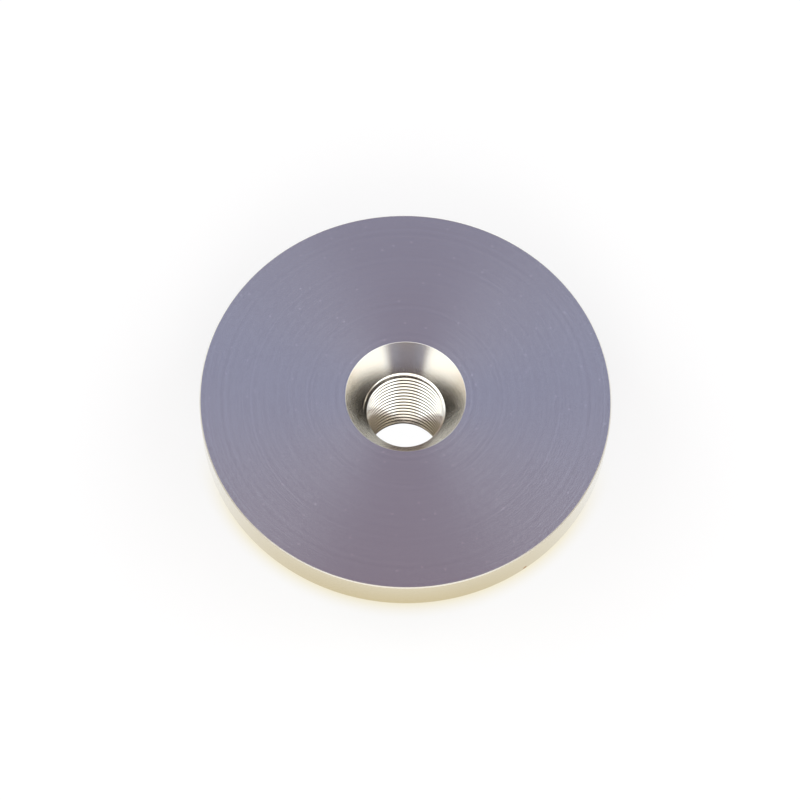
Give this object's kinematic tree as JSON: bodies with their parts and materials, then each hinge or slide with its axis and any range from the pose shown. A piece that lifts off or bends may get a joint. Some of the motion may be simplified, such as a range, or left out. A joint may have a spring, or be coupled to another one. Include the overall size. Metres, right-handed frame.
{
  "type": "turned flange with threaded hub",
  "caption": "Thick flat disc on a short round hub, with a threaded bore along the axis that opens in a wide countersink in the front face.",
  "frame": {"origin": "on the axis, in the plane of the hub's end face, which the part stands on", "axes": "+Z along the turning axis, from the hub's end to the disc's front face; X and Y are radial"},
  "size_m": [0.1, 0.1, 0.038],
  "materials": {
    "turned_steel": "stainless steel as turned: fine concentric tool marks on the front face, brighter rim, countersink and edge breaks"
  },
  "bodies": {
    "root": {"threaded_flange": "turned_steel"}
  },
  "joints": []
}
